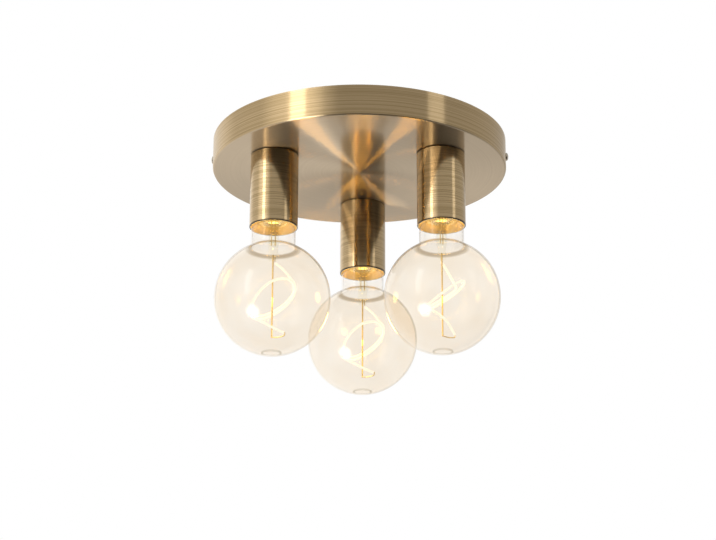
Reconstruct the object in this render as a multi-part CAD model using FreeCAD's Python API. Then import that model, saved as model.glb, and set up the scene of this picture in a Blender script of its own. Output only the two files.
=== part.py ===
"""Semi-flush ceiling light: a round brushed-brass canopy on a ceiling bracket, with three short lamp tubes.

Each tube hangs on a threaded nipple and covers an E27 lampholder with a globe bulb screwed into it.
Millimetres. The origin is the centre of the ceiling face and +Z points up, so the light is below zero.
One light stands at +Y and the other two follow at equal angles; the two side screws lie on the X axis.
"""

import FreeCAD, Part
import math
import os

Vector = FreeCAD.Vector
UP = Vector(0, 0, 1)

# ---- canopy -----------------------------------------------------------------------------------------
canopy_diameter = 250.0
canopy_height = 26.0
canopy_wall = 1.2
canopy_edge_radius = 1.4

# ---- lamp tubes -------------------------------------------------------------------------------------
light_count = 3
light_circle_diameter = 160.0
first_light_angle = 90.0
tube_diameter = 40.0
tube_height = 64.0
tube_wall = 1.2
tube_top_thickness = 1.6
tube_top_edge_radius = 1.1
tube_mouth_edge_radius = 0.4

# ---- threaded nipples, their nuts and washers -------------------------------------------------------
nipple_diameter = 10.0
nipple_bore_diameter = 7.0
nipple_thread_pitch = 1.0
nipple_thread_depth = 0.35
nipple_hole_clearance = 0.2
nipple_above_nut = 2.4
nipple_in_holder = 9.0
nut_thickness = 3.0
nut_across_flats = 14.0
nut_bore_clearance = 0.1
nipple_washer_diameter = 17.0
nipple_washer_thickness = 0.8

# ---- lampholders ------------------------------------------------------------------------------------
holder_boss_diameter = 16.0
holder_boss_height = 5.0
holder_dome_height = 7.0
holder_base_diameter = 32.4
holder_base_height = 26.0
holder_floor_thickness = 3.5
holder_space_height = 8.5
holder_base_wall = 2.5
holder_sleeve_diameter = 35.2
holder_sleeve_overlap = 9.0
holder_sleeve_clearance = 0.15
holder_lip_height = 0.9
shell_wall = 0.55
shell_flange_opening = 20.0
shell_seat_clearance = 0.15
holder_skirt_height = 26.9

# ---- lampholder contacts ----------------------------------------------------------------------------
leaf_thickness = 0.4
leaf_width = 5.0
leaf_pivot_x = 6.2
leaf_end_x = 9.2
leaf_tip_x = -2.8
leaf_touch_x = -0.6
contact_gap = 0.3
tip_below_floor = 5.2
terminal_shank_diameter = 2.4
terminal_head_diameter = 4.4
terminal_head_height = 0.8
terminal_hole_clearance = 0.1
neutral_terminal_x = -11.4
holder_turn_angles = (0.0, 300.0, 60.0)

# ---- E27 screw thread, shared by the bulb caps and the lampholder shells -----------------------------
thread_pitch = 25.4 / 7
thread_major_radius = 13.05
thread_minor_radius = 12.0
thread_half_base = 1.25
thread_half_crest = 0.45
thread_clearance = 0.25
thread_root_overlap = 0.2

# ---- globe bulbs ------------------------------------------------------------------------------------
globe_diameter = 95.0
bulb_length = 140.0
glass_wall = 0.9
neck_diameter = 36.6
neck_blend_radius = 2.5
shoulder_height = 7.0
collar_depth = 2.8
collar_clearance = 0.15
cap_length = 26.0
cap_wall = 0.45
cap_skirt_height = 3.4
cap_flare_height = 1.1
cap_skirt_radius = 13.2
cap_thread_turns = 3.5
tip_radius = 4.8
tip_height = 1.3
tip_dome = 0.35
insulator_height = 3.9
insulator_radius = 9.7

# ---- inside the bulbs -------------------------------------------------------------------------------
stem_radius = 4.2
stem_wall = 1.0
stem_flare_height = 7.0
press_width = 7.6
press_thickness = 3.2
press_length = 12.0
press_above_centre = 32.7
filament_radius = 1.0
loop_radius = 18.2
loop_offset = 0.8
loop_rise = 0.3
loop_turns = 1.5
loop_tilt_across = 10.3
loop_tilt_depth = 7.9
loop_sag = 1.1
loop_drift = 4.0
loop_step_angle = 30.0
support_rod_radius = 0.65
support_wire_radius = 0.4
rod_drop = 33.5
wire_end_gap = 0.3
filament_turn_angles = (-6.0, 0.0, 48.0)

# ---- bulb driver board ------------------------------------------------------------------------------
board_width = 17.0
board_height = 13.0
board_thickness = 1.0
reservoir_radius = 3.2
reservoir_length = 8.0
bridge_size = 4.5
bridge_thickness = 2.0

# ---- ceiling bracket --------------------------------------------------------------------------------
bracket_width = 25.0
bracket_thickness = 1.5
bracket_bend_radius = 2.0
bracket_rim_gap = 0.5
bracket_tab_width = 12.0
bracket_tab_depth = 19.0
slot_spacing = 100.0
slot_length = 20.0
slot_width = 5.0
cable_hole_diameter = 10.0
cable_hole_offset = 25.0

# ---- side screws ------------------------------------------------------------------------------------
side_screw_diameter = 3.9
side_screw_pitch = 0.7
side_screw_thread_depth = 0.3
side_screw_length = 11.4
side_screw_depth = 13.0
side_head_diameter = 7.0
side_head_height = 1.8
side_slot_width = 0.9
side_slot_depth = 0.8
side_washer_diameter = 6.4
side_washer_thickness = 0.4
side_hole_clearance = 0.35
side_tap_clearance = 0.1

# ---- terminal block ---------------------------------------------------------------------------------
pole_count = 3
pole_pitch = 10.0
block_depth = 17.0
block_height = 15.0
block_waist_depth = 12.0
block_edge_radius = 1.0
port_radius = 2.9
port_axis_drop = 7.0
barrel_wall = 0.5
barrel_length = 14.0
barrel_clearance = 0.1
terminal_screw_radius = 1.4
terminal_screw_head_radius = 1.9
terminal_screw_offset = 4.2
terminal_screw_clearance = 0.15
terminal_screw_recess = 1.6
block_screw_radius = 1.45
block_screw_head_radius = 2.6
block_screw_head_height = 1.8
block_screw_clearance = 0.1

# ---- leads and earth stud ---------------------------------------------------------------------------
lead_radius = 1.0
lead_spread = 1.2
lead_pair_offset = 1.15
lead_bend_share = 0.45
lead_end_from_middle = 1.5
lead_stub = 3.4
lead_roof_gap = 0.6
lead_rise = 7.0
lead_straight = 5.0
lead_level = -11.5
far_lead_level_live = -19.0
far_lead_level_neutral = -12.5
earth_stud_diameter = 4.0
earth_stud_length = 9.0
earth_stud_flange_diameter = 7.0
earth_stud_flange_height = 0.8
earth_stud_y = -36.0
earth_ring_diameter = 8.0
earth_ring_thickness = 0.8
earth_barrel_radius = 1.7
earth_barrel_length = 6.0
earth_nut_across_flats = 7.0
earth_nut_thickness = 3.2
earth_nut_clearance = 0.1

# ---- levels and radii that follow from the sizes above ----------------------------------------------
canopy_radius = canopy_diameter / 2
pan_under_z = -canopy_height
pan_floor_z = pan_under_z + canopy_wall
light_circle_radius = light_circle_diameter / 2
tube_radius = tube_diameter / 2
tube_inner_radius = tube_radius - tube_wall
tube_roof_z = pan_under_z - tube_top_thickness
tube_mouth_z = pan_under_z - tube_height
nipple_radius = nipple_diameter / 2
nipple_hole_radius = nipple_radius + nipple_hole_clearance
nut_top_z = pan_floor_z + nipple_washer_thickness + nut_thickness

holder_top_z = tube_roof_z
holder_base_radius = holder_base_diameter / 2
holder_floor_under_z = holder_top_z - holder_base_height
holder_floor_top_z = holder_floor_under_z + holder_floor_thickness
holder_roof_z = holder_floor_top_z + holder_space_height
holder_mouth_z = holder_floor_under_z - holder_skirt_height

globe_radius = globe_diameter / 2
bulb_tip_z = holder_floor_under_z - tip_below_floor
globe_centre_z = bulb_tip_z - bulb_length + globe_radius
cap_rim_z = bulb_tip_z - cap_length
cap_flare_top_z = cap_rim_z + cap_skirt_height + cap_flare_height
insulator_top_z = bulb_tip_z - tip_height
cap_shoulder_z = insulator_top_z - insulator_height + cap_wall
neck_radius = neck_diameter / 2

shell_root_radius = thread_major_radius + thread_clearance
shell_outer_radius = shell_root_radius + shell_wall
shell_top_z = holder_floor_under_z - shell_seat_clearance
shell_bottom_z = holder_mouth_z + holder_lip_height + shell_seat_clearance
thread_start_z = cap_flare_top_z + thread_half_base

board_top_z = insulator_top_z - insulator_height
bracket_under_z = -bracket_thickness
tab_outer_x = canopy_radius - canopy_wall - bracket_rim_gap
port_z = bracket_under_z - port_axis_drop
block_width = pole_count * pole_pitch


# ---- shape helpers ----------------------------------------------------------------------------------
def at(x, z):
    """A point of a turned profile: distance from the axis, and height."""
    return Vector(x, 0, z)


def profile_face(start, *steps):
    """A face in the XZ plane: a step of two numbers is a line, one of four an arc through its first point."""
    edges = []
    here = at(*start)
    for step in steps + (start,):
        there = at(*step[-2:])
        if (there - here).Length < 1e-9:
            continue
        if len(step) == 4:
            edges.append(Part.Arc(here, at(*step[:2]), there).toShape())
        else:
            edges.append(Part.LineSegment(here, there).toShape())
        here = there
    return Part.Face(Part.Wire(edges))


def dome(rim_radius, rim_z, top_z):
    """The arc step of a spherical cap from its rim to its top on the axis."""
    rise = top_z - rim_z
    radius = (rim_radius**2 + rise**2) / (2 * abs(rise))
    sign = 1 if rise > 0 else -1
    centre_z = top_z - sign * radius
    half = math.asin(min(rim_radius / radius, 1)) / 2
    return (radius * math.sin(half), centre_z + sign * radius * math.cos(half), 0, top_z)


def turned(start, *steps):
    """The solid that a profile sweeps about the Z axis."""
    return profile_face(start, *steps).revolve(Vector(0, 0, 0), UP, 360)


def cylinder(radius, low_z, high_z, x=0.0, y=0.0):
    return Part.makeCylinder(radius, high_z - low_z, Vector(x, y, low_z), UP)


def ring(outer_radius, inner_radius, low_z, high_z, x=0.0, y=0.0):
    return cylinder(outer_radius, low_z, high_z, x, y).cut(cylinder(inner_radius, low_z, high_z, x, y))


def centred_box(width, depth, low_z, high_z, x=0.0, y=0.0):
    return Part.makeBox(width, depth, high_z - low_z, Vector(x - width / 2, y - depth / 2, low_z))


def hexagon(across_flats, low_z, high_z, x=0.0, y=0.0):
    corner = across_flats / math.sqrt(3)
    points = [
        Vector(x + corner * math.cos(math.radians(a)), y + corner * math.sin(math.radians(a)), low_z)
        for a in range(0, 420, 60)
    ]
    return Part.Face(Part.makePolygon(points)).extrude(Vector(0, 0, high_z - low_z))


def grooved_rod(radius, depth, pitch, low_z, high_z):
    """A rod with V grooves one pitch apart, plain for half a pitch at each end."""
    steps = [(radius, low_z)]
    z = low_z + pitch / 2
    while z + pitch < high_z:
        steps += [(radius, z), (radius - depth, z + pitch / 2), (radius, z + pitch)]
        z += pitch
    return turned((0, low_z), *steps, (radius, high_z), (0, high_z))


def smooth_wire(points):
    """Straight runs joined by tangent arcs, each as large as its two runs allow."""
    corners = [Vector(*p) for p in points]
    edges = []
    here = corners[0]
    for before, corner, after in zip(corners, corners[1:], corners[2:]):
        run_in, run_out = corner - before, after - corner
        reach = lead_bend_share * min(run_in.Length, run_out.Length)
        a = run_in.normalize()
        b = run_out.normalize()
        half_turn = a.getAngle(b) / 2
        radius = reach / math.tan(half_turn)
        start, end = corner - a * reach, corner + b * reach
        to_centre = (b - a).normalize()
        centre = corner + to_centre * (radius / math.cos(half_turn))
        middle = centre - to_centre * radius
        edges.append(Part.LineSegment(here, start).toShape())
        edges.append(Part.Arc(start, middle, end).toShape())
        here = end
    edges.append(Part.LineSegment(here, corners[-1]).toShape())
    return Part.Wire(edges)


def round_wire(points, radius):
    """A round wire or lead of that radius along the smooth path through the points."""
    path = smooth_wire(points)
    first = Vector(*points[0])
    along = Vector(*points[1]) - first
    section = Part.Wire(Part.makeCircle(radius, first, along))
    return path.makePipeShell([section], True, False)


def thread_ridge(root_radius, crest_radius, half_root, half_crest, first_z, turns):
    """A right-handed ridge whose flanks run on into the wall; its centre line starts at first_z over +X."""
    rise = crest_radius - root_radius
    buried_share = thread_root_overlap / abs(rise)
    buried = root_radius - rise * buried_share
    half_buried = half_root + (half_root - half_crest) * buried_share
    section = Part.makePolygon(
        [
            at(buried, first_z - half_buried),
            at(crest_radius, first_z - half_crest),
            at(crest_radius, first_z + half_crest),
            at(buried, first_z + half_buried),
            at(buried, first_z - half_buried),
        ]
    )
    helix = Part.makeHelix(thread_pitch, turns * thread_pitch, root_radius)
    helix.translate(Vector(0, 0, first_z))
    return Part.Wire(helix.Edges).makePipeShell([section], True, True)


def light_angle(index):
    return first_light_angle + index * 360.0 / light_count


def light_position(index):
    a = math.radians(light_angle(index))
    return Vector(light_circle_radius * math.cos(a), light_circle_radius * math.sin(a), 0)


def at_light(shape, index, turn=0.0):
    """A copy of a piece built on the Z axis, turned about that axis and moved under its light."""
    placed = shape.copy()
    placed.rotate(Vector(0, 0, 0), UP, turn)
    placed.translate(light_position(index))
    return placed


def save(name, *solids):
    shape = solids[0] if len(solids) == 1 else Part.makeCompound(list(solids))
    shape.exportStep(os.path.join("parts", name + ".step"))


def save_at_light(pieces, index, turn):
    for name, solids in pieces.items():
        save("%s_%d" % (name, index + 1), *[at_light(solid, index, turn) for solid in solids])


# ---- canopy and ceiling bracket ---------------------------------------------------------------------
def canopy_pan():
    """A spun pan, open at the ceiling, with nipple holes in its floor and two side holes in its rim."""
    e = canopy_edge_radius
    inner_e = max(e - canopy_wall, 0.2)
    slope = math.sqrt(0.5)
    outer, inner = canopy_radius, canopy_radius - canopy_wall
    pan = turned(
        (0, pan_under_z),
        (outer - e, pan_under_z),
        (outer - e + e * slope, pan_under_z + e - e * slope, outer, pan_under_z + e),
        (outer, 0),
        (inner, 0),
        (inner, pan_floor_z + inner_e),
        (
            inner - inner_e + inner_e * slope,
            pan_floor_z + inner_e - inner_e * slope,
            inner - inner_e,
            pan_floor_z,
        ),
        (0, pan_floor_z),
    )
    for i in range(light_count):
        p = light_position(i)
        pan = pan.cut(cylinder(nipple_hole_radius, pan_under_z - 1, pan_floor_z + 1, p.x, p.y))
    hole_radius = side_screw_diameter / 2 + side_hole_clearance
    drill = Part.makeCylinder(
        hole_radius, 2 * outer + 2, Vector(-outer - 1, 0, -side_screw_depth), Vector(1, 0, 0)
    )
    rim_only = ring(outer + 2, tab_outer_x, -canopy_height, 0)
    return pan.cut(drill.common(rim_only))


def ceiling_bracket():
    """A steel bar across the ceiling with a tapped tab bent down at each end."""
    t, r = bracket_thickness, bracket_bend_radius
    x = tab_outer_x
    slope = math.sqrt(0.5)
    outer_bend, inner_bend = r + t, r
    side = profile_face(
        (-x + outer_bend, 0),
        (x - outer_bend, 0),
        (x - outer_bend + outer_bend * slope, -outer_bend + outer_bend * slope, x, -outer_bend),
        (x, -bracket_tab_depth),
        (x - t, -bracket_tab_depth),
        (x - t, -outer_bend),
        (x - outer_bend + inner_bend * slope, -outer_bend + inner_bend * slope, x - outer_bend, -t),
        (-x + outer_bend, -t),
        (-x + outer_bend - inner_bend * slope, -outer_bend + inner_bend * slope, -x + t, -outer_bend),
        (-x + t, -bracket_tab_depth),
        (-x, -bracket_tab_depth),
        (-x, -outer_bend),
        (-x + outer_bend - outer_bend * slope, -outer_bend + outer_bend * slope, -x + outer_bend, 0),
    )
    side.translate(Vector(0, -bracket_width / 2, 0))
    bar = side.extrude(Vector(0, bracket_width, 0))
    notch_depth = (bracket_width - bracket_tab_width) / 2
    notch_length = bracket_width / 2
    for end in (-1, 1):
        for edge in (-1, 1):
            bar = bar.cut(
                centred_box(
                    notch_length,
                    notch_depth,
                    -bracket_tab_depth - 1,
                    1,
                    end * (x - notch_length / 2 + 0.01),
                    edge * (bracket_width - notch_depth) / 2,
                )
            )
        slot_x = end * slot_spacing / 2
        half_run = (slot_length - slot_width) / 2
        bar = bar.cut(centred_box(2 * half_run, slot_width, -t - 1, 1, slot_x))
        for side_of_slot in (-1, 1):
            bar = bar.cut(cylinder(slot_width / 2, -t - 1, 1, slot_x + side_of_slot * half_run))
        bar = bar.cut(cylinder(cable_hole_diameter / 2, -t - 1, 1, end * cable_hole_offset))
    tap_radius = side_screw_diameter / 2 + side_tap_clearance
    tap = Part.makeCylinder(tap_radius, 2 * x + 2, Vector(-x - 1, 0, -side_screw_depth), Vector(1, 0, 0))
    bar = bar.cut(tap)
    return bar.cut(cylinder(block_screw_radius + block_screw_clearance, -t - 1, 1, pole_pitch / 2))


# ---- side screws ------------------------------------------------------------------------------------
def side_screw():
    """A slotted dome-head screw along +X: its washer rests on the rim where X is the canopy radius."""
    seat = side_washer_thickness
    half = side_head_diameter / 2
    head_top = seat + side_head_height
    shoulder = seat + side_head_height * 0.35
    head = turned(
        (0, seat),
        (half, seat),
        (half, shoulder),
        dome(half, shoulder, head_top),
    )
    shank = grooved_rod(
        side_screw_diameter / 2, side_screw_thread_depth, side_screw_pitch, -side_screw_length, seat
    )
    slot = centred_box(side_head_diameter + 2, side_slot_width, head_top - side_slot_depth, head_top + 1)
    screw = head.fuse(shank).removeSplitter().cut(slot)
    return screw


def side_washer():
    bore = side_screw_diameter / 2 + side_tap_clearance
    return ring(side_washer_diameter / 2, bore, 0, side_washer_thickness)


def at_side(shape, side):
    """Turns a piece built along +Z so that it points out of the rim on the +X or -X side."""
    placed = shape.copy()
    placed.rotate(Vector(0, 0, 0), Vector(0, 1, 0), 90 * side)
    placed.translate(Vector(side * canopy_radius, 0, -side_screw_depth))
    return placed


# ---- terminal block ---------------------------------------------------------------------------------
def pole_x(pole):
    return (pole - (pole_count - 1) / 2) * pole_pitch


def along_y(radius, length, x, z, y=0.0):
    return Part.makeCylinder(radius, length, Vector(x, y - length / 2, z), Vector(0, 1, 0))


def terminal_block():
    """A moulded block under the bracket, one through port and two screw wells to each pole."""
    top, bottom = bracket_under_z, bracket_under_z - block_height
    block = centred_box(block_width, block_depth, bottom, top)
    block = block.makeFillet(block_edge_radius, [e for e in block.Edges if abs(e.BoundBox.ZLength) > 1])
    waist_cut = (block_depth - block_waist_depth) / 2
    for gap in range(pole_count - 1):
        for edge in (-1, 1):
            x = pole_x(gap) + pole_pitch / 2
            block = block.cut(
                centred_box(1.6, waist_cut, bottom - 1, top + 1, x, edge * (block_depth - waist_cut) / 2)
            )
    well_radius = terminal_screw_head_radius + terminal_screw_clearance
    for pole in range(pole_count):
        block = block.cut(along_y(port_radius, block_depth + 2, pole_x(pole), port_z))
        for edge in (-1, 1):
            block = block.cut(
                cylinder(well_radius, bottom - 1, port_z, pole_x(pole), edge * terminal_screw_offset)
            )
    hole = cylinder(block_screw_radius + block_screw_clearance, bottom - 1, top + 1, pole_pitch / 2)
    recess_radius = block_screw_head_radius + block_screw_clearance
    recess = cylinder(recess_radius, bottom - 1, bottom + block_screw_head_height, pole_pitch / 2)
    return block.cut(hole).cut(recess)


def terminal_barrels():
    """A brass barrel in each port, tapped for its two screws."""
    outer = port_radius - barrel_clearance
    made = []
    for pole in range(pole_count):
        x = pole_x(pole)
        barrel = along_y(outer, barrel_length, x, port_z).cut(
            along_y(outer - barrel_wall, barrel_length + 2, x, port_z)
        )
        for edge in (-1, 1):
            tapped = terminal_screw_radius + terminal_screw_clearance
            barrel = barrel.cut(cylinder(tapped, port_z - outer - 1, port_z, x, edge * terminal_screw_offset))
        made.append(barrel)
    return made


def terminal_screws():
    """Two slotted clamping screws to each pole, driven from below."""
    bottom = bracket_under_z - block_height
    tip_z = port_z - lead_spread / 2 - lead_radius - 0.05
    head_low = bottom + terminal_screw_recess
    head_high = head_low + 2.0
    made = []
    for pole in range(pole_count):
        for edge in (-1, 1):
            x, y = pole_x(pole), edge * terminal_screw_offset
            screw = cylinder(terminal_screw_head_radius, head_low, head_high, x, y).fuse(
                cylinder(terminal_screw_radius, head_low, tip_z, x, y)
            )
            screw = screw.cut(centred_box(5, 0.6, head_low - 1, head_low + 0.7, x, y))
            made.append(screw)
    return made


def block_screw():
    """The screw that holds the block to the bracket, between two poles."""
    bottom = bracket_under_z - block_height
    x = pole_pitch / 2
    head = cylinder(block_screw_head_radius, bottom, bottom + block_screw_head_height, x)
    shank = cylinder(block_screw_radius, bottom, 0, x)
    return head.fuse(shank).cut(centred_box(7, 0.7, bottom - 1, bottom + 0.8, x))


# ---- earth stud -------------------------------------------------------------------------------------
def earth_stud():
    flange = cylinder(
        earth_stud_flange_diameter / 2, pan_floor_z, pan_floor_z + earth_stud_flange_height, 0, earth_stud_y
    )
    return flange.fuse(
        cylinder(earth_stud_diameter / 2, pan_floor_z, pan_floor_z + earth_stud_length, 0, earth_stud_y)
    )


def earth_ring_z():
    return pan_floor_z + earth_stud_flange_height


def earth_barrel_z():
    return earth_ring_z() + earth_barrel_radius


def earth_ring():
    """A crimped ring terminal on the stud, with its barrel towards the block."""
    low = earth_ring_z()
    high = low + earth_ring_thickness
    half = earth_ring_diameter / 2
    barrel_start = earth_stud_y + half + 1.0
    plate = cylinder(half, low, high, 0, earth_stud_y).fuse(
        centred_box(2 * earth_barrel_radius, half + 1.5, low, high, 0, earth_stud_y + (half + 1.5) / 2)
    )
    barrel = along_y(
        earth_barrel_radius, earth_barrel_length, 0, earth_barrel_z(), barrel_start + earth_barrel_length / 2
    )
    crimp_y = barrel_start + 1.5 + earth_barrel_length / 2
    crimp = along_y(lead_radius + 0.05, earth_barrel_length, 0, earth_barrel_z(), crimp_y)
    hole = cylinder(earth_stud_diameter / 2 + earth_nut_clearance, low - 1, high + 1, 0, earth_stud_y)
    return plate.fuse(barrel).cut(crimp).cut(hole)


def earth_nut():
    low = earth_ring_z() + earth_ring_thickness
    nut = hexagon(earth_nut_across_flats, low, low + earth_nut_thickness, 0, earth_stud_y)
    bore_radius = earth_stud_diameter / 2 + earth_nut_clearance
    return nut.cut(cylinder(bore_radius, low - 1, low + earth_nut_thickness + 1, 0, earth_stud_y))


# ---- lamp tube, nipple and lampholder ---------------------------------------------------------------
def lamp_tube():
    """The brass sleeve over the lampholder, closed at the top round the nipple."""
    e, m = tube_top_edge_radius, tube_mouth_edge_radius
    slope = math.sqrt(0.5)
    r, inner = tube_radius, tube_inner_radius
    return turned(
        (nipple_hole_radius, pan_under_z),
        (r - e, pan_under_z),
        (r - e + e * slope, pan_under_z - e + e * slope, r, pan_under_z - e),
        (r, tube_mouth_z + m),
        (r - m + m * slope, tube_mouth_z + m - m * slope, r - m, tube_mouth_z),
        (inner, tube_mouth_z),
        (inner, tube_roof_z),
        (nipple_hole_radius, tube_roof_z),
    )


def nipple():
    top = nut_top_z + nipple_above_nut
    bottom = holder_top_z - nipple_in_holder
    rod = grooved_rod(nipple_radius, nipple_thread_depth, nipple_thread_pitch, bottom, top)
    return rod.cut(cylinder(nipple_bore_diameter / 2, bottom - 1, top + 1))


def nipple_washer():
    return ring(
        nipple_washer_diameter / 2, nipple_hole_radius, pan_floor_z, pan_floor_z + nipple_washer_thickness
    )


def nipple_nut():
    low = pan_floor_z + nipple_washer_thickness
    return hexagon(nut_across_flats, low, nut_top_z).cut(
        cylinder(nipple_radius + nut_bore_clearance, low - 1, nut_top_z + 1)
    )


def holder_base():
    """The moulded cap of the lampholder: a nipple entry, a wiring space and a floor for the contacts."""
    boss = holder_boss_diameter / 2
    entry = nipple_radius + nut_bore_clearance
    hollow = holder_base_radius - holder_base_wall
    boss_z = holder_top_z - holder_boss_height
    dome_z = boss_z - holder_dome_height
    bulge = 0.55
    body = turned(
        (entry, holder_top_z),
        (boss, holder_top_z),
        (boss, boss_z),
        (
            boss + (holder_base_radius - boss) * (bulge + 0.2),
            boss_z - holder_dome_height * (bulge - 0.2),
            holder_base_radius,
            dome_z,
        ),
        (holder_base_radius, holder_floor_under_z),
        (0, holder_floor_under_z),
        (0, holder_floor_top_z),
        (hollow, holder_floor_top_z),
        (hollow, holder_roof_z),
        (entry, holder_roof_z),
    )
    hole_radius = terminal_shank_diameter / 2 + terminal_hole_clearance
    for x in (live_terminal_x(), neutral_terminal_x):
        body = body.cut(cylinder(hole_radius, holder_floor_under_z - 1, holder_floor_top_z + 1, x))
    return body


def holder_sleeve():
    """The lower half of the lampholder: overlaps the base and holds the screw shell above a small lip."""
    outer = holder_sleeve_diameter / 2
    over_base = holder_base_radius + holder_sleeve_clearance
    round_shell = shell_outer_radius + holder_sleeve_clearance
    lip = (shell_root_radius + round_shell) / 2
    top = holder_floor_under_z + holder_sleeve_overlap
    step_z = holder_floor_under_z - 0.05
    lip_z = holder_mouth_z + holder_lip_height
    return turned(
        (over_base, top),
        (outer, top),
        (outer, holder_mouth_z),
        (lip, holder_mouth_z),
        (lip, lip_z),
        (round_shell, lip_z),
        (round_shell, step_z),
        (over_base, step_z),
    )


def screw_shell():
    """The threaded metal shell that takes the bulb cap, with an inward flange at the top."""
    opening = shell_flange_opening / 2
    body = turned(
        (opening, shell_top_z),
        (shell_outer_radius, shell_top_z),
        (shell_outer_radius, shell_bottom_z),
        (shell_root_radius, shell_bottom_z),
        (shell_root_radius, shell_top_z - shell_wall),
        (opening, shell_top_z - shell_wall),
    )
    crest = thread_minor_radius + thread_clearance + 0.1
    half_crest = thread_pitch / 2 - half_thickness_at(crest) - thread_clearance
    half_root = thread_pitch / 2 - thread_half_crest - thread_clearance
    first_z = thread_start_z - thread_pitch / 2
    while first_z - half_root < shell_bottom_z + 0.1:
        first_z += thread_pitch
    turns = (shell_top_z - shell_wall - half_root - 0.3 - first_z) / thread_pitch
    return body.fuse(thread_ridge(shell_root_radius, crest, half_root, half_crest, first_z, turns))


def half_thickness_at(radius):
    """Half the height of the bulb cap's ridge at a radius."""
    share = (radius - thread_minor_radius) / (thread_major_radius - thread_minor_radius)
    return thread_half_base + (thread_half_crest - thread_half_base) * share


def live_terminal_x():
    return (leaf_pivot_x + leaf_end_x) / 2


def centre_contact():
    """A sprung leaf: flat under its terminal, then sloping down to touch the bulb's tip."""
    top = holder_floor_under_z
    touch_z = bulb_tip_z + contact_gap + leaf_thickness
    t = leaf_thickness
    upper = [(leaf_end_x, top), (leaf_pivot_x, top), (leaf_touch_x, touch_z), (leaf_tip_x, touch_z + 0.7)]
    lower = [(x, z - t) for x, z in reversed(upper)]
    outline = profile_face(upper[0], *upper[1:], *lower)
    outline.translate(Vector(0, -leaf_width / 2, 0))
    return outline.extrude(Vector(0, leaf_width, 0))


def holder_terminal(x, foot_z):
    """A riveted terminal through the lampholder's floor."""
    head_top = holder_floor_top_z + terminal_head_height
    head = cylinder(terminal_head_diameter / 2, holder_floor_top_z, head_top, x)
    return head.fuse(cylinder(terminal_shank_diameter / 2, foot_z, holder_floor_top_z, x))


# ---- globe bulb -------------------------------------------------------------------------------------
def shoulder_arcs(upper_radius, lower_radius, upper_z, height, inset):
    """Two tangent arcs from a narrow to a wide cylinder, for a surface that far inside the outer one."""
    across = lower_radius - upper_radius
    bend = (across**2 + height**2) / (4 * across)
    half_turn = math.atan(across / height)
    first, second = bend + inset, bend - inset
    first_centre = upper_radius + bend
    second_centre = lower_radius - bend
    low_z = upper_z - height
    return [
        (
            first_centre - first * math.cos(half_turn),
            upper_z - first * math.sin(half_turn),
            first_centre - first * math.cos(2 * half_turn),
            upper_z - first * math.sin(2 * half_turn),
        ),
        (
            second_centre + second * math.cos(half_turn),
            low_z + second * math.sin(half_turn),
            lower_radius - inset,
            low_z,
        ),
    ]


def neck_blend(inset):
    """The point where the neck leaves its cylinder, and the arc that runs from there onto the sphere."""
    centre_r = neck_radius + neck_blend_radius
    reach = globe_radius + neck_blend_radius
    rise = math.sqrt(reach**2 - centre_r**2)
    centre_z = globe_centre_z + rise
    radius = neck_blend_radius + inset
    end_angle = math.atan2(-rise, -centre_r)
    middle_angle = (end_angle - math.pi) / 2
    middle = (centre_r + radius * math.cos(middle_angle), centre_z + radius * math.sin(middle_angle))
    end = (centre_r + radius * math.cos(end_angle), centre_z + radius * math.sin(end_angle))
    return (neck_radius - inset, centre_z), (*middle, *end)


def sphere_arc(inset, start):
    """From the end of the neck blend round to the bottom of the globe."""
    radius = globe_radius - inset
    middle = (math.atan2(start[1] - globe_centre_z, start[0]) - math.pi / 2) / 2
    return (radius * math.cos(middle), globe_centre_z + radius * math.sin(middle), 0, globe_centre_z - radius)


def collar_radius():
    return cap_skirt_radius - cap_wall - collar_clearance


def bulb_globe():
    """The glass: a collar in the cap, a shoulder, a straight neck and a sphere."""
    collar_top_z = cap_rim_z + collar_depth
    neck_top, outer_blend = neck_blend(0)
    neck_top_in, inner_blend = neck_blend(glass_wall)
    outer = [(collar_radius(), cap_rim_z)]
    outer += shoulder_arcs(collar_radius(), neck_radius, cap_rim_z, shoulder_height, 0)
    outer += [neck_top, outer_blend, sphere_arc(0, outer_blend[2:])]
    solid = turned((0, collar_top_z), (collar_radius(), collar_top_z), *outer)
    inner = [(collar_radius() - glass_wall, cap_rim_z)]
    inner += shoulder_arcs(collar_radius(), neck_radius, cap_rim_z, shoulder_height, glass_wall)
    inner += [neck_top_in, inner_blend, sphere_arc(glass_wall, inner_blend[2:])]
    top = collar_top_z + 1
    hollow = turned((0, top), (collar_radius() - glass_wall, top), *inner)
    return solid.cut(hollow)


def bulb_cap():
    """The threaded metal cap, from its turned-in top edge to its flared skirt."""
    w = cap_wall
    r = thread_minor_radius
    skirt = cap_skirt_radius
    top = cap_shoulder_z
    bend = 1.6
    slope = math.sqrt(0.5)
    skirt_top_z = cap_rim_z + cap_skirt_height
    body = turned(
        (insulator_radius, top),
        (r - bend, top),
        (r - bend + bend * slope, top - bend + bend * slope, r, top - bend),
        (r, cap_flare_top_z),
        (skirt, skirt_top_z),
        (skirt, cap_rim_z),
        (skirt - w, cap_rim_z),
        (skirt - w, skirt_top_z - w * 0.3),
        (r - w, cap_flare_top_z - w * 0.3),
        (r - w, top - bend),
        (r - w - (bend - w) * (1 - slope), top - w - (bend - w) * (1 - slope), r - bend, top - w),
        (insulator_radius, top - w),
    )
    ridge = thread_ridge(
        thread_minor_radius,
        thread_major_radius,
        thread_half_base,
        thread_half_crest,
        thread_start_z,
        cap_thread_turns,
    )
    return body.fuse(ridge)


def bulb_insulator():
    """The black glass bead that keeps the tip apart from the cap."""
    low = insulator_top_z - insulator_height
    return turned(
        (0, insulator_top_z),
        (tip_radius + 0.5, insulator_top_z),
        (insulator_radius, cap_shoulder_z),
        (insulator_radius, low),
        (0, low),
    )


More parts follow.
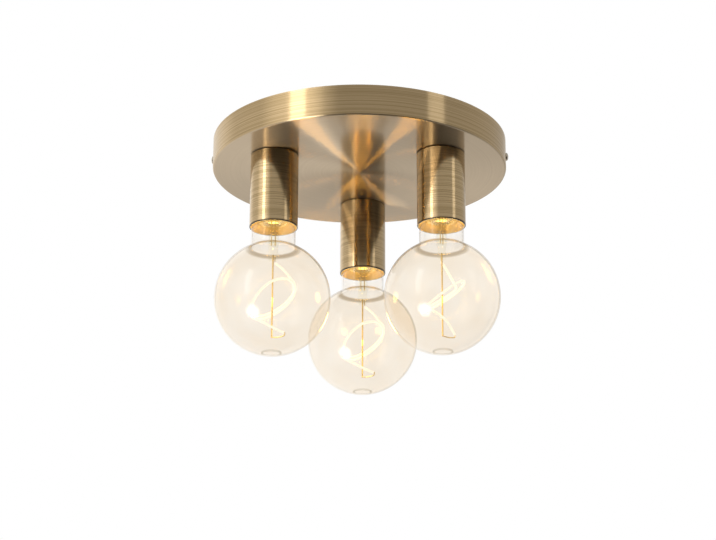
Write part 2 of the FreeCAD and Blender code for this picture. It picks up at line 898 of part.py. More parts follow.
def bulb_tip():
    edge_z = bulb_tip_z - tip_dome
    return turned(
        (0, insulator_top_z),
        (tip_radius, insulator_top_z),
        (tip_radius, edge_z),
        dome(tip_radius, edge_z, bulb_tip_z),
    )


def stem_top_z():
    return cap_rim_z + collar_depth - 0.6


def press_end_z():
    return globe_centre_z + press_above_centre


def stem_end_z():
    return press_end_z() + press_length


def bulb_stem():
    """The glass mount: a flare sealed inside the neck, a tube, and a flattened press round the wires."""
    rim = collar_radius() - glass_wall - 0.1
    top, end = stem_top_z(), stem_end_z()
    flare_z = top - stem_flare_height
    inner = stem_radius - stem_wall
    sweep = 0.3
    body = turned(
        (rim - stem_wall, top),
        (rim, top),
        (rim, top - 0.8),
        (
            stem_radius + (rim - stem_radius) * sweep,
            flare_z + stem_flare_height * sweep,
            stem_radius,
            flare_z,
        ),
        (stem_radius, end),
        dome(stem_radius, end, end - stem_radius * 0.8),
        (0, end + stem_wall),
        (inner, end + stem_wall),
        (inner, flare_z),
        (
            inner + (rim - stem_wall - inner) * sweep,
            flare_z + stem_flare_height * sweep + stem_wall * 0.7,
            rim - stem_wall,
            top,
        ),
    )
    press = centred_box(press_width, press_thickness, press_end_z(), end)
    press = press.makeFillet(
        press_thickness * 0.4, [e for e in press.Edges if e.BoundBox.ZLength > press_thickness]
    )
    rod_hole = cylinder(support_rod_radius + 0.02, press_end_z() - 1, press_end_z() + press_length * 0.4)
    return body.fuse(press).cut(rod_hole)


def loop_point(turn_degrees):
    """A point of the filament's tilted loop, which leaves +X towards +Y and sinks as it goes."""
    a = math.radians(turn_degrees)
    drift = loop_drift * (0.5 - turn_degrees / (360.0 * loop_turns))
    tilt = loop_tilt_across * math.cos(a) - loop_tilt_depth * math.sin(a)
    sag = loop_sag * math.cos(2 * a)
    return (
        loop_offset + loop_radius * math.cos(a),
        loop_radius * math.sin(a),
        globe_centre_z + loop_rise + tilt - sag + drift,
    )


def in_globe(across, deep, up):
    """A point in the globe, in shares of its radius from its centre."""
    return (across * globe_radius, deep * globe_radius, globe_centre_z + up * globe_radius)


def filament_start():
    return (press_width * 0.24, press_thickness * 0.75, press_end_z() - 1.4 * filament_radius)


def filament_end():
    return in_globe(0.215, -0.084, -0.644)


def filament_points():
    lead_in = [filament_start(), in_globe(0.19, 0.053, 0.537), in_globe(0.316, 0.032, 0.358)]
    steps = int(360 * loop_turns / loop_step_angle)
    loop = [loop_point(i * loop_step_angle) for i in range(steps + 1)]
    lead_out = [in_globe(-0.223, -0.19, -0.446), in_globe(-0.07, -0.19, -0.524)]
    return lead_in + loop + lead_out + [in_globe(0.084, -0.137, -0.602), filament_end()]


def bulb_filament():
    return round_wire(filament_points(), filament_radius)


def bulb_supports():
    """The centre rod with its foot, the two lead wires in the stem, and the hook at the filament's start."""
    w = support_wire_radius
    rod_low = globe_centre_z - rod_drop
    rod = cylinder(support_rod_radius, rod_low, press_end_z() + press_length * 0.4)
    start, end = filament_start(), filament_end()
    foot = round_wire(
        [
            (0, 0, rod_low + w),
            (end[0] * 0.45, end[1] * 0.55, rod_low - 1.5 * w),
            (end[0] + 1.5 * w, end[1] + 0.5 * w, rod_low + w),
            (end[0] + wire_end_gap + w, end[1] + 2 * w, end[2] + 1.5 * w),
        ],
        w,
    )
    hook_y = press_thickness / 2 + w + 0.02
    hook = round_wire(
        [
            (start[0] - w, hook_y, press_end_z() + press_length / 3),
            (start[0] - w, hook_y, press_end_z() + 1.5 * w),
            (start[0] - 0.8 * w, start[1], start[2] + filament_radius + wire_end_gap),
        ],
        w,
    )
    lead_top_z = board_top_z - board_height
    leads = [cylinder(w, stem_end_z() + stem_wall, lead_top_z, x) for x in (-1.6, 1.6)]
    return [rod.fuse(foot), hook, *leads]


def bulb_driver():
    """A small circuit board upright under the insulator, with a reservoir capacitor and a rectifier."""
    high = board_top_z
    low = board_top_z - board_height
    board = centred_box(board_width, board_thickness, low, high)
    face = board_thickness / 2
    middle = (low + high) / 2 - board_thickness
    reservoir_start = Vector(-reservoir_length / 2, face + reservoir_radius, middle)
    reservoir = Part.makeCylinder(reservoir_radius, reservoir_length, reservoir_start, Vector(1, 0, 0))
    bridge_top = high - bridge_thickness
    bridge_y = -face - bridge_thickness / 2
    bridge = centred_box(bridge_size, bridge_thickness, bridge_top - bridge_size, bridge_top, 0, bridge_y)
    return [board, reservoir, bridge]


# ---- leads ------------------------------------------------------------------------------------------
def start_of_lead(index, live):
    """From a terminal in one lampholder up through its nipple; the lampholder is turned about its axis."""
    side = 1 if live else -1
    terminal = live_terminal_x() if live else neutral_terminal_x
    head_z = holder_floor_top_z + terminal_head_height
    turn = math.radians(holder_turn_angles[index])
    p = light_position(index)
    points = [
        (terminal, head_z),
        (terminal, head_z + lead_stub),
        (side * lead_pair_offset, holder_roof_z + lead_roof_gap),
        (side * lead_pair_offset, nut_top_z + lead_rise),
    ]
    return [(p.x + r * math.cos(turn), p.y + r * math.sin(turn), z) for r, z in points]


def end_of_lead(pole, place, side):
    """The straight run into a port from its +Y or -Y side; leads in one port lie a third of a turn apart."""
    a = math.radians(90 + 120 * place)
    x = pole_x(pole) + lead_spread * math.cos(a)
    z = port_z + lead_spread * math.sin(a)
    return [(x, side * (block_depth / 2 + lead_straight), z), (x, side * lead_end_from_middle, z)]


def in_pan(side, across, deep, z):
    """A point in the pan at a height, in shares of the lights' circle; side is 1 for +X and -1 for -X."""
    return (side * across * light_circle_radius, deep * light_circle_radius, z)


def lead_points(index, live):
    """The route of one lead across the pan: live to the pole at +X, neutral to the pole at -X."""
    side = 1 if live else -1
    pole = pole_count - 1 if live else 0
    start = start_of_lead(index, live)
    if index == 0:
        slack = [in_pan(side, x, y, lead_level) for x, y in ((0.065, 0.84), (0.2, 0.6), (0.2, 0.4))]
        return start + slack + end_of_lead(pole, 1 if live else 2, 1)
    flank = 1 if start[0][0] > 0 else -1
    if flank == side:
        slack = [in_pan(flank, x, y, lead_level) for x, y in ((0.68, -0.45), (0.375, -0.325), (0.21, -0.31))]
        return start + slack + end_of_lead(pole, 2 if live else 1, -1)
    level = far_lead_level_live if live else far_lead_level_neutral
    ways = ((0.69, -0.59), (0.375, -0.7), (-0.025, -0.725), (-0.21, -0.575))
    slack = [in_pan(flank, x, y, level) for x, y in ways]
    slack.append(in_pan(flank, -0.15, -0.325, port_z - 2 * lead_radius))
    return start + slack + end_of_lead(pole, 1 if live else 2, -1)


def earth_lead():
    y = earth_stud_y + earth_ring_diameter / 2 + 1.0
    z = earth_barrel_z()
    return round_wire(
        [
            (0, y + 1.6 * lead_radius, z),
            (0, y + earth_barrel_length + 2.5 * lead_radius, z),
            (0, -block_depth / 2 - 2 * lead_straight, port_z - 1.5 * lead_radius),
            (0, -block_depth / 2 - lead_straight, port_z),
            (0, -lead_end_from_middle, port_z),
        ],
        lead_radius,
    )


# ---- the whole light --------------------------------------------------------------------------------
def main():
    os.makedirs("parts", exist_ok=True)
    save("canopy_pan", canopy_pan())
    save("ceiling_bracket", ceiling_bracket())
    save("terminal_block", terminal_block())
    save("terminal_barrels", *terminal_barrels())
    save("terminal_screws", *terminal_screws())
    save("block_screw", block_screw())
    save("earth_stud", earth_stud())
    save("earth_ring", earth_ring())
    save("earth_nut", earth_nut())
    save("earth_lead", earth_lead())
    lights = range(light_count)
    save("live_leads", *[round_wire(lead_points(i, True), lead_radius) for i in lights])
    save("neutral_leads", *[round_wire(lead_points(i, False), lead_radius) for i in lights])
    for number, side in ((1, 1), (2, -1)):
        save("side_screw_%d" % number, at_side(side_screw(), side))
        save("side_washer_%d" % number, at_side(side_washer(), side))
    save("nipples", *[at_light(nipple(), i) for i in lights])
    save("nipple_nuts", *[at_light(nipple_nut(), i) for i in lights])
    save("nipple_washers", *[at_light(nipple_washer(), i) for i in lights])
    terminals = []
    live_foot = holder_floor_under_z
    neutral_foot = shell_top_z
    for i in lights:
        turn = holder_turn_angles[i]
        terminals.append(at_light(holder_terminal(live_terminal_x(), live_foot), i, turn))
        terminals.append(at_light(holder_terminal(neutral_terminal_x, neutral_foot), i, turn))
    save("holder_terminals", *terminals)
    threaded = {
        "lamp_tube": [lamp_tube()],
        "holder_sleeve": [holder_sleeve()],
        "screw_shell": [screw_shell()],
        "bulb_globe": [bulb_globe()],
        "bulb_cap": [bulb_cap()],
        "bulb_insulator": [bulb_insulator()],
        "bulb_tip": [bulb_tip()],
    }
    turned_with_holder = {"holder_base": [holder_base()], "centre_contact": [centre_contact()]}
    turned_with_filament = {
        "bulb_stem": [bulb_stem()],
        "bulb_filament": [bulb_filament()],
        "bulb_supports": bulb_supports(),
        "bulb_driver": bulb_driver(),
    }
    for i in lights:
        save_at_light(threaded, i, 0.0)
        save_at_light(turned_with_holder, i, holder_turn_angles[i])
        save_at_light(turned_with_filament, i, filament_turn_angles[i])


main()
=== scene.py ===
import math

import bpy
from mathutils import Matrix, Vector


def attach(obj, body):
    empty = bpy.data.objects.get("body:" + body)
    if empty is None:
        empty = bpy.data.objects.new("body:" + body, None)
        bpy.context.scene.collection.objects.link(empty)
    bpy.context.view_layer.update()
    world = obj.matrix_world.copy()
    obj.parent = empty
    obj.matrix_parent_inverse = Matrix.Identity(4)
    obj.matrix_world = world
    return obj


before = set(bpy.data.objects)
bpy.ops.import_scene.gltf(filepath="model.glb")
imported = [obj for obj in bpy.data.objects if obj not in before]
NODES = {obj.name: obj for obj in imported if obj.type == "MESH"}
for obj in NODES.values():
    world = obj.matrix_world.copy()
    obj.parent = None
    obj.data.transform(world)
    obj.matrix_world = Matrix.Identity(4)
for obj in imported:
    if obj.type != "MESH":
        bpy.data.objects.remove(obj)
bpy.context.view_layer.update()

LIGHTS = (1, 2, 3)

# Places on the object, in metres, with z = 0 at the ceiling.
LIGHT_CIRCLE_RADIUS = 0.08
CANOPY_UNDER_Z = -0.026
TUBE_MOUTH_Z = -0.090
TUBE_BORE_RADIUS = 0.0188
NECK_JOINT_Z = -0.1085
GLOBE_CENTRE_Z = -0.1513
STEM_CENTRE_Z = -0.1
BULB_LIGHT_Z = -0.150
LAMPLIGHT_START_Z = -0.058
LAMPLIGHT_FULL_Z = -0.084

scene = bpy.context.scene
scene.view_settings.view_transform = "Standard"


# ---- node helpers -----------------------------------------------------------------------------------
class Mat:
    """A material with a short way to add and join nodes."""

    def __init__(self, name):
        self.material = bpy.data.materials.new(name)
        self.material.use_nodes = True
        self.tree = self.material.node_tree
        self.tree.nodes.clear()
        self.out = self.tree.nodes.new("ShaderNodeOutputMaterial")

    def node(self, kind, **values):
        made = self.tree.nodes.new(kind)
        for key, value in values.items():
            setattr(made, key, value)
        return made

    def put(self, socket, value):
        if isinstance(value, bpy.types.NodeSocket):
            self.tree.links.new(value, socket)
        else:
            socket.default_value = value

    def math(self, operation, a, b=None, c=None):
        made = self.node("ShaderNodeMath", operation=operation)
        for socket, value in zip(made.inputs, (a, b, c)):
            if value is not None:
                self.put(socket, value)
        return made.outputs[0]

    def span(self, value, low, high, to_low=0.0, to_high=1.0, smooth=False):
        made = self.node("ShaderNodeMapRange")
        if smooth:
            made.interpolation_type = "SMOOTHSTEP"
        for socket, v in zip(made.inputs, (value, low, high, to_low, to_high)):
            self.put(socket, v)
        return made.outputs[0]

    def mix(self, share, a, b):
        made = self.node("ShaderNodeMix", data_type="RGBA")
        self.put(made.inputs[0], share)
        self.put(made.inputs[6], a)
        self.put(made.inputs[7], b)
        return made.outputs[2]

    def distance(self, a, b):
        """How far a step of a one way and b across it goes."""
        return self.math("SQRT", self.math("ADD", self.math("MULTIPLY", a, a), self.math("MULTIPLY", b, b)))

    def band(self, value, start, full, fading, end):
        """1 from full to fading, and 0 before start and after end."""
        return self.math("MULTIPLY", self.span(value, start, full), self.span(value, end, fading))

    def noise(self, vector, scale, detail=4.0, rough=0.55):
        made = self.node("ShaderNodeTexNoise")
        self.put(made.inputs["Vector"], vector)
        self.put(made.inputs["Scale"], scale)
        self.put(made.inputs["Detail"], detail)
        self.put(made.inputs["Roughness"], rough)
        return made.outputs["Fac"]

    def vector(self, x, y, z):
        made = self.node("ShaderNodeCombineXYZ")
        for socket, v in zip(made.inputs, (x, y, z)):
            self.put(socket, v)
        return made.outputs[0]

    def place(self):
        """The position in the object's own frame, as a vector and as x, y and z."""
        vector = self.node("ShaderNodeTexCoord").outputs["Object"]
        split = self.node("ShaderNodeSeparateXYZ")
        self.put(split.inputs[0], vector)
        return vector, split.outputs[0], split.outputs[1], split.outputs[2]

    def bump(self, height, strength, distance):
        made = self.node("ShaderNodeBump")
        self.put(made.inputs["Height"], height)
        made.inputs["Strength"].default_value = strength
        made.inputs["Distance"].default_value = distance
        return made.outputs[0]

    def lamplit(self, z, strength):
        """A painted glow, standing in for the light a lit bulb throws on what stands near the tubes' mouths;
        it fades upwards.
        """
        if not strength:
            return 0.0
        return self.span(z, LAMPLIGHT_START_Z, LAMPLIGHT_FULL_Z, 0.0, strength)

    def principled(self, **values):
        made = self.node("ShaderNodeBsdfPrincipled")
        for key, value in values.items():
            self.put(made.inputs[key.replace("_", " ")], value)
        self.put(self.out.inputs[0], made.outputs[0])
        return made


def colour(r, g, b):
    return (r, g, b, 1.0)


def darker(tint, share):
    return tuple(v * share for v in tint[:3]) + (1.0,)


BRASS = colour(0.56, 0.415, 0.235)
BRASS_DARK = colour(0.37, 0.262, 0.125)
BRASS_FLAT = colour(0.48, 0.385, 0.27)
# Colour of the painted glow from the bulbs on the parts near them.
LAMPLIGHT = colour(1.0, 0.62, 0.19)
AMBER = colour(0.988, 0.968, 0.937)
CLEAR = colour(0.99, 0.985, 0.96)
SEAM_BROWN = colour(0.38, 0.27, 0.11)
SEAM_SHARE = 0.4


# ---- metals -----------------------------------------------------------------------------------------
def brushed_brass(name, centre, rough, stretch, streak, tube=None):
    """Lacquered antique brass, brushed in circles about the Z axis through centre.

    The metal mirrors sharply, and a share streak of it also smears light across the brush lines.
    A tube is given by its top, its mouth and its bore: painted shade darkens a line round its top, where it
    meets the canopy, and a line at its lip; inside the bore the brass is paler and has a painted glow from
    the bulb.
    """
    m = Mat(name)
    here, x, y, z = m.place()
    dx = m.math("SUBTRACT", x, centre[0])
    dy = m.math("SUBTRACT", y, centre[1])
    radius = m.distance(dx, dy)
    angle = m.math("ARCTAN2", dy, dx)
    facing = m.node("ShaderNodeSeparateXYZ")
    m.put(facing.inputs[0], m.node("ShaderNodeNewGeometry").outputs["True Normal"])
    flat = m.math("GREATER_THAN", m.math("ABSOLUTE", facing.outputs[2]), 0.7)
    upright = m.math("SUBTRACT", 1.0, flat)
    across = m.math("ADD", m.math("MULTIPLY", radius, flat), m.math("MULTIPLY", z, upright))

    def rings(per_metre, wander):
        """Noise in closed rings; wander says how much a ring changes on its way round."""
        round_x = m.math("MULTIPLY", m.math("COSINE", angle), wander)
        round_y = m.math("MULTIPLY", m.math("SINE", angle), wander)
        return m.noise(m.vector(m.math("MULTIPLY", across, per_metre), round_x, round_y), 1.0, 2.0)

    fine = rings(2600.0, 0.35)
    broad = rings(900.0, 0.12)
    cloud = m.noise(here, 22.0, 5.0)
    lines = m.math("ADD", m.math("MULTIPLY", fine, 0.4), m.math("MULTIPLY", broad, 0.6))
    tint = m.mix(m.span(lines, 0.41, 0.57), BRASS_DARK, BRASS)
    tint = m.mix(m.math("MULTIPLY", flat, 0.85), tint, BRASS_FLAT)
    tint = m.mix(m.span(cloud, 0.35, 0.75, 0.0, 0.06), tint, colour(0.30, 0.20, 0.10))
    line_roughness = m.span(lines, 0.3, 0.7, rough + 0.03, rough - 0.03)
    roughness = m.math("ADD", line_roughness, m.span(cloud, 0.3, 0.7, 0.0, 0.02))
    emission = 0.0
    if tube:
        top, mouth, bore = tube
        # Painted shade: a near-black line round the tube's top, where it meets the canopy, and another just
        # above its mouth, at the lip.
        seam = m.span(z, top - 0.0012, top - 0.0004)
        lip_shade = m.span(z, mouth + 0.0011, mouth + 0.0008)
        inside = m.math("LESS_THAN", radius, bore + 0.0003)
        outside = m.math("SUBTRACT", 1.0, inside)
        shade = m.math("MULTIPLY", m.math("MAXIMUM", seam, lip_shade), outside)
        # The near-black colour of that painted shade, kept off the inside of the bore.
        tint = m.mix(m.math("MULTIPLY", shade, 0.9), tint, colour(0.02, 0.012, 0.006))
        tint = m.mix(inside, tint, colour(0.78, 0.66, 0.38))
        roughness = m.math("MAXIMUM", roughness, m.math("MULTIPLY", inside, 0.45))
        # Painted glow: the inside of the bore glows warm near the mouth, as if lit by the bulb, fading
        # upwards.
        emission = m.math("MULTIPLY", m.math("MULTIPLY", inside, m.span(z, mouth + 0.022, mouth)), 0.17)
    tangent = m.node("ShaderNodeTangent", direction_type="RADIAL", axis="Z")
    relief = m.bump(lines, 0.06, 0.00003)
    metal = m.principled(
        Base_Color=tint,
        Metallic=1.0,
        Roughness=roughness,
        Anisotropic=stretch,
        Anisotropic_Rotation=0.25,
        Tangent=tangent.outputs[0],
        Normal=relief,
        Coat_Weight=0.3,
        Coat_Roughness=0.06,
        Emission_Color=LAMPLIGHT,
        Emission_Strength=emission,
    )
    smear = m.node("ShaderNodeBsdfAnisotropic")
    m.put(smear.inputs["Color"], tint)
    m.put(smear.inputs["Roughness"], 0.30)
    m.put(smear.inputs["Anisotropy"], 0.85)
    m.put(smear.inputs["Normal"], relief)
    m.put(smear.inputs["Tangent"], tangent.outputs[0])
    join = m.node("ShaderNodeMixShader")
    m.put(join.inputs[0], m.math("MULTIPLY", outside, streak) if tube else streak)
    m.put(join.inputs[1], metal.outputs[0])
    m.put(join.inputs[2], smear.outputs[0])
    m.put(m.out.inputs[0], join.outputs[0])
    return m.material


def plain_metal(name, base, rough, lit=None):
    """Plain metal with a fine grain; lit is how strong the painted glow of a lit bulb is on it."""
    m = Mat(name)
    here, _, _, z = m.place()
    grain = m.noise(here, 600.0, 4.0)
    cloud = m.noise(here, 60.0, 4.0)
    m.principled(
        Base_Color=m.mix(m.span(cloud, 0.3, 0.7), darker(base, 0.72), base),
        Metallic=1.0,
        Roughness=m.span(grain, 0.3, 0.7, rough - 0.06, rough + 0.08),
        Normal=m.bump(grain, 0.15, 0.0001),
        Emission_Color=LAMPLIGHT,
        Emission_Strength=m.lamplit(z, lit),
    )
    return m.material


# ---- plastics and glass -----------------------------------------------------------------------------
def moulded(name, base, rough, bump=0.12, stripe=None, lit=None):
    """A moulded surface, such as plastic or porcelain. If stripe is a colour, it is striped."""
    m = Mat(name)
    here, x, _, z = m.place()
    grain = m.noise(here, 900.0, 3.0)
    cloud = m.noise(here, 36.0, 4.0)
    tint = m.mix(m.span(cloud, 0.3, 0.7, 0.0, 0.25), base, darker(base, 0.7))
    if stripe:
        turn = m.math("SINE", m.math("MULTIPLY", m.math("ADD", x, z), 2600.0))
        tint = m.mix(m.span(turn, -0.05, 0.05), tint, stripe)
    m.principled(
        Base_Color=tint,
        Roughness=m.span(grain, 0.3, 0.7, rough - 0.06, rough + 0.08),
        Normal=m.bump(grain, bump, 0.0001),
        # lit gives a painted glow from a lit bulb.
        Emission_Color=LAMPLIGHT,
        Emission_Strength=m.lamplit(z, lit),
    )
    return m.material


def thin_glass(name, tint, centre, neck_z=None):
    """Thin tinted glass round centre, with a flat tint, a darker outline and a shine; towards the top the
    outline's darkening is painted shade.

    With neck_z it is a globe: clear above that height, with a faint seam there and a faint ring at its foot.
    """
    m = Mat(name)
    here, x, y, z = m.place()
    facing = m.node("ShaderNodeLayerWeight")
    facing.inputs["Blend"].default_value = 0.5
    edge = m.span(facing.outputs["Facing"], 0.80, 0.95, 0.0, 1.0, True)
    deeper = tuple(v**1.5 for v in tint[:3]) + (1.0,)
    shade = m.mix(m.span(m.noise(here, 30.0, 3.0), 0.35, 0.65), tint, deeper)
    geometry = m.node("ShaderNodeNewGeometry")
    inward = m.node("ShaderNodeVectorMath", operation="SUBTRACT")
    m.put(inward.inputs[0], here)
    m.put(inward.inputs[1], centre)
    outwards = m.node("ShaderNodeVectorMath", operation="DOT_PRODUCT")
    m.put(outwards.inputs[0], inward.outputs[0])
    m.put(outwards.inputs[1], geometry.outputs["True Normal"])
    # True Normal is turned towards the viewer, so near is 1 on the wall that faces the viewer. It depends on
    # where the camera stands, and sets only the shine: softer and weaker on the far wall.
    near = m.math("GREATER_THAN", outwards.outputs["Value"], 0.0)
    if neck_z is not None:
        clear = m.span(z, neck_z - 0.002, neck_z + 0.012, 0.0, 1.0, True)
        shade = m.mix(clear, shade, colour(0.985, 0.98, 0.97))
        seam = m.band(z, neck_z - 0.0015, neck_z - 0.0006, neck_z + 0.0006, neck_z + 0.0015)
        shade = m.mix(m.math("MULTIPLY", seam, SEAM_SHARE), shade, SEAM_BROWN)
        radius = m.distance(m.math("SUBTRACT", x, centre[0]), m.math("SUBTRACT", y, centre[1]))
        foot = m.math("LESS_THAN", z, centre[2] - 0.04)
        ring = m.math("MULTIPLY", m.band(radius, 0.0066, 0.0070, 0.0082, 0.0086), foot)
        shade = m.mix(m.math("MULTIPLY", ring, 0.5), shade, colour(0.60, 0.54, 0.42))
    through = m.node("ShaderNodeBsdfTransparent")
    # At the outline the glass takes a deeper tint, which turns browner towards the top; that darkening
    # towards the top is painted shade.
    height = m.span(z, centre[2] - 0.02, centre[2] + 0.04)
    outline_tint_and_shade = m.mix(height, colour(0.84, 0.77, 0.66), colour(0.50, 0.41, 0.28))
    m.put(through.inputs[0], m.mix(edge, shade, outline_tint_and_shade))
    shine = m.node("ShaderNodeBsdfAnisotropic")
    m.put(shine.inputs["Color"], colour(1, 1, 1))
    m.put(shine.inputs["Roughness"], m.span(near, 0.0, 1.0, 0.20, 0.12))
    m.put(shine.inputs["Normal"], m.bump(m.noise(here, 38.0, 3.0), 0.02, 0.002))
    fresnel = m.node("ShaderNodeFresnel")
    fresnel.inputs["IOR"].default_value = 1.45
    front = m.math("SUBTRACT", 1.0, geometry.outputs["Backfacing"])
    share = m.math("MULTIPLY", m.math("MINIMUM", fresnel.outputs[0], 0.5), front)
    away = m.span(facing.outputs["Facing"], 0.045, 0.09, 0.0, 0.8, True)
    share = m.math("MULTIPLY", share, m.span(near, 0.0, 1.0, away, 1.0))
    join = m.node("ShaderNodeMixShader")
    m.put(join.inputs[0], share)
    m.put(join.inputs[1], through.outputs[0])
    m.put(join.inputs[2], shine.outputs[0])
    m.put(m.out.inputs[0], join.outputs[0])
    return m.material


def glowing(name, tint, strength):
    """A surface that gives light by itself, a tenth stronger or weaker from spot to spot."""
    m = Mat(name)
    here = m.place()[0]
    spots = m.noise(here, 700.0, 2.0)
    m.principled(
        Base_Color=colour(0.10, 0.085, 0.05),
        Roughness=0.6,
        Emission_Color=tint,
        Emission_Strength=m.span(spots, 0.3, 0.7, strength * 0.9, strength * 1.1),
    )
    return m.material


# ---- where each finish goes -------------------------------------------------------------------------
def dress(node, material):
    """Give the material to a CAD node."""
    mesh = NODES[node].data
    mesh.materials.clear()
    mesh.materials.append(material)


def axis_of(light):
    """Where the light's vertical axis stands, as x and y."""
    a = math.radians(90 + 120 * (light - 1))
    return (LIGHT_CIRCLE_RADIUS * math.cos(a), LIGHT_CIRCLE_RADIUS * math.sin(a))


dress("canopy_pan", brushed_brass("canopy_brass", (0.0, 0.0), rough=0.10, stretch=0.4, streak=0.5))
zinc = plain_metal("zinc_steel", colour(0.62, 0.63, 0.65), 0.34)
bright_brass = plain_metal("plain_brass", colour(0.80, 0.62, 0.30), 0.25)
tinned = plain_metal("tinned_copper", colour(0.74, 0.73, 0.70), 0.30)
screw_metal = plain_metal("screw_brass", colour(0.60, 0.54, 0.44), 0.30)
# lit gives these parts a painted glow from the bulbs.
wire_metal = plain_metal("support_wire", colour(0.74, 0.57, 0.26), 0.30, lit=0.16)
shell_metal = plain_metal("nickel_shell", colour(0.72, 0.69, 0.62), 0.28, lit=0.5)
cap_metal = plain_metal("nickel_cap", colour(0.76, 0.74, 0.68), 0.26, lit=0.6)
porcelain = moulded("white_porcelain", colour(0.86, 0.80, 0.68), 0.25, bump=0.05, lit=0.5)
bead = moulded("black_glass_bead", colour(0.02, 0.02, 0.025), 0.10)
board = moulded("circuit_board", colour(0.05, 0.20, 0.09), 0.40)
filament = glowing("glowing_filament", colour(1.0, 0.95, 0.82), 1.06)

for node in (
    "ceiling_bracket",
    "terminal_screws",
    "block_screw",
    "earth_nut",
    "nipples",
    "nipple_nuts",
    "nipple_washers",
):
    dress(node, zinc)
for node in ("terminal_barrels", "earth_stud", "holder_terminals"):
    dress(node, bright_brass)
dress("earth_ring", tinned)
dress("terminal_block", moulded("white_nylon", colour(0.82, 0.82, 0.78), 0.5))
dress("live_leads", moulded("live_insulation", colour(0.16, 0.055, 0.02), 0.36))
dress("neutral_leads", moulded("neutral_insulation", colour(0.02, 0.09, 0.42), 0.36))
earth_stripe = colour(0.75, 0.65, 0.03)
dress("earth_lead", moulded("earth_insulation", colour(0.06, 0.30, 0.04), 0.36, stripe=earth_stripe))
for n in (1, 2):
    dress("side_screw_%d" % n, screw_metal)
    dress("side_washer_%d" % n, screw_metal)
for i in LIGHTS:
    globe_centre = (*axis_of(i), GLOBE_CENTRE_Z)
    tube = (CANOPY_UNDER_Z, TUBE_MOUTH_Z, TUBE_BORE_RADIUS)
    finish = brushed_brass("tube_brass_%d" % i, axis_of(i), rough=0.13, stretch=0.6, streak=0.2, tube=tube)
    for node, material in {
        "lamp_tube": finish,
        "holder_base": porcelain,
        "holder_sleeve": porcelain,
        "screw_shell": shell_metal,
        "centre_contact": bright_brass,
        "bulb_globe": thin_glass("amber_glass_%d" % i, AMBER, globe_centre, NECK_JOINT_Z),
        "bulb_cap": cap_metal,
        "bulb_insulator": bead,
        "bulb_tip": tinned,
        "bulb_stem": thin_glass("clear_glass_%d" % i, CLEAR, (*axis_of(i), STEM_CENTRE_Z)),
        "bulb_filament": filament,
        "bulb_supports": wire_metal,
        "bulb_driver": board,
    }.items():
        dress("%s_%d" % (node, i), material)


# ---- stage, light and camera ------------------------------------------------------------------------
def add_floor():
    """A pale floor 2.4 m under the ceiling that fades out into the white. Shiny pieces don't mirror it."""
    bpy.ops.mesh.primitive_plane_add(size=24, location=(0, 0, -2.4))
    floor = bpy.context.object
    floor.name = "floor"
    m = Mat("floor_paper")
    here, x, y, _ = m.place()
    away = m.distance(x, y)
    tint = m.mix(m.noise(here, 3.0), colour(0.80, 0.80, 0.80), colour(0.84, 0.84, 0.84))
    paper = m.principled(Base_Color=tint, Roughness=0.8)
    join = m.node("ShaderNodeMixShader")
    m.put(join.inputs[0], m.span(away, 2.0, 9.0, 0.0, 1.0, True))
    m.put(join.inputs[1], paper.outputs[0])
    m.put(join.inputs[2], m.node("ShaderNodeBsdfTransparent").outputs[0])
    m.put(m.out.inputs[0], join.outputs[0])
    floor.data.materials.append(m.material)
    floor.visible_glossy = False


def add_softbox(name, azimuth, elevation, distance, width, height, power):
    """A rectangular light that faces the lamp. Azimuth 0 stands behind the camera, positive to its right."""
    light = bpy.data.lights.new(name, "AREA")
    light.shape = "RECTANGLE"
    light.size, light.size_y = width, height
    light.energy = power
    made = bpy.data.objects.new(name, light)
    scene.collection.objects.link(made)
    a, e = math.radians(azimuth), math.radians(elevation)
    place = Vector((math.sin(a) * math.cos(e), -math.cos(a) * math.cos(e), math.sin(e))) * distance
    made.location = place
    made.rotation_euler = (Vector((0, 0, -0.06)) - place).to_track_quat("-Z", "Y").to_euler()


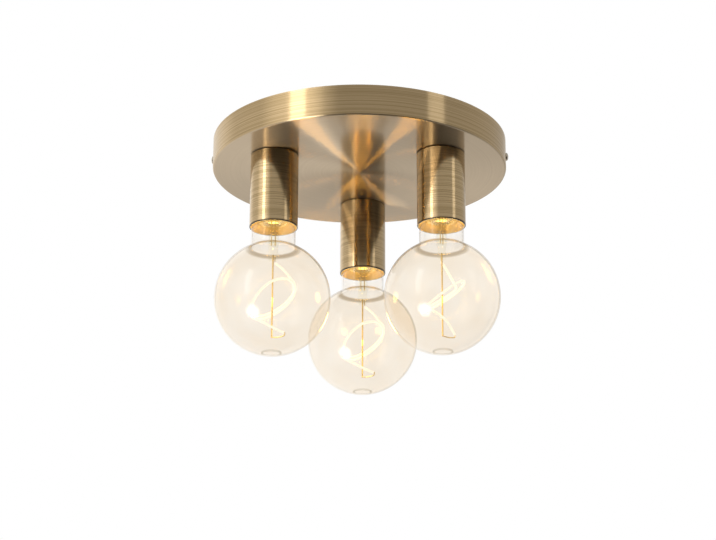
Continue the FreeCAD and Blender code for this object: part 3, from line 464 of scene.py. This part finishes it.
def add_world():
    """White behind the lamp for the camera, also straight through the glass.

    Light and reflections come from a studio instead, which is brighter at the left and back and darker low in
    front, with two soft glows at the left.
    """
    world = bpy.data.worlds.new("studio")
    scene.world = world
    world.use_nodes = True
    tree = world.node_tree
    tree.nodes.clear()
    out = tree.nodes.new("ShaderNodeOutputWorld")
    path = tree.nodes.new("ShaderNodeLightPath")
    way = tree.nodes.new("ShaderNodeTexCoord").outputs["Generated"]
    split = tree.nodes.new("ShaderNodeSeparateXYZ")
    tree.links.new(way, split.inputs[0])

    def ramp(source, low, high, to_low, to_high):
        made = tree.nodes.new("ShaderNodeMapRange")
        made.interpolation_type = "SMOOTHSTEP"
        for socket, value in zip(made.inputs[1:5], (low, high, to_low, to_high)):
            socket.default_value = value
        tree.links.new(source, made.inputs[0])
        return made.outputs[0]

    def both(operation, a, b):
        made = tree.nodes.new("ShaderNodeMath")
        made.operation = operation
        tree.links.new(a, made.inputs[0])
        tree.links.new(b, made.inputs[1])
        return made.outputs[0]

    def glow(azimuth, elevation, inner, outer, strength):
        a, e = math.radians(azimuth), math.radians(elevation)
        made = tree.nodes.new("ShaderNodeVectorMath")
        made.operation = "DOT_PRODUCT"
        tree.links.new(way, made.inputs[0])
        made.inputs[1].default_value = (math.sin(a) * math.cos(e), -math.cos(a) * math.cos(e), math.sin(e))
        limits = math.cos(math.radians(outer)), math.cos(math.radians(inner))
        return ramp(made.outputs["Value"], *limits, 0.0, strength)

    ahead = ramp(split.outputs[2], -0.30, 0.10, 0.09, 0.66)
    aside = ramp(split.outputs[0], -0.85, 0.05, 1.0, 0.0)
    depth = ramp(split.outputs[1], -0.35, 0.65, 0.0, 1.0)
    behind = both("MULTIPLY", depth, ramp(split.outputs[0], -0.6, 0.6, 1.3, 0.62))
    total = both("MAXIMUM", both("MAXIMUM", ahead, aside), behind)
    total = both("ADD", total, glow(-47, 15, 4, 34, 0.9))
    total = both("ADD", total, glow(-45, -37, 6, 16, 13.0))
    seen = tree.nodes.new("ShaderNodeBackground")
    lit = tree.nodes.new("ShaderNodeBackground")
    seen.inputs[0].default_value = colour(1, 1, 1)
    seen.inputs[1].default_value = 1.0
    lit.inputs[0].default_value = colour(1.0, 0.99, 0.97)
    tree.links.new(total, lit.inputs[1])
    join = tree.nodes.new("ShaderNodeMixShader")
    tree.links.new(path.outputs["Is Camera Ray"], join.inputs[0])
    tree.links.new(lit.outputs[0], join.inputs[1])
    tree.links.new(seen.outputs[0], join.inputs[2])
    tree.links.new(join.outputs[0], out.inputs[0])


def add_camera():
    """The photograph's camera, fitted to the canopy, tubes and globes: below the lamp, looking up."""
    distance = 1.6962
    aside = -0.00095
    focal_pixels = 1972.1
    photo_width = 716
    e, p, r, yaw = (math.radians(angle) for angle in (22.53, 18.89, 0.178, -2.26))
    right = Vector((1, 0, 0))
    up = Vector((0, -math.sin(p), math.cos(p)))
    ahead = Vector((0, math.cos(p), math.sin(p)))
    rolled_right = right * math.cos(r) + up * math.sin(r)
    rolled_up = up * math.cos(r) - right * math.sin(r)
    turn = Matrix.Rotation(-yaw, 4, "Z")
    place = Matrix((rolled_right, rolled_up, -ahead)).transposed().to_4x4()
    place.translation = Vector((aside, -distance * math.cos(e), -distance * math.sin(e)))
    data = bpy.data.cameras.new("camera")
    data.sensor_width = 36.0
    data.sensor_fit = "HORIZONTAL"
    data.lens = focal_pixels / photo_width * data.sensor_width
    data.clip_start = 0.01
    made = bpy.data.objects.new("camera", data)
    made.matrix_world = turn @ place
    scene.collection.objects.link(made)
    scene.camera = made


def add_bulb_glow():
    """A small warm light inside each bulb, which moves with it."""
    for i in LIGHTS:
        x, y = axis_of(i)
        light = bpy.data.lights.new("bulb_glow_%d" % i, "POINT")
        light.energy = 0.19
        light.color = (1.0, 0.58, 0.11)
        light.shadow_soft_size = 0.016
        made = bpy.data.objects.new("bulb_glow_%d" % i, light)
        made.location = (x, y, BULB_LIGHT_Z)
        made.visible_camera = False
        scene.collection.objects.link(made)
        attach(made, "bulb_%d" % i)


add_floor()
add_softbox("left_strip", -45, 14, 2.2, 0.45, 1.8, 6.0)
add_softbox("right_box", 62, 14, 2.4, 0.55, 1.6, 2.3)
add_world()
add_camera()
add_bulb_glow()
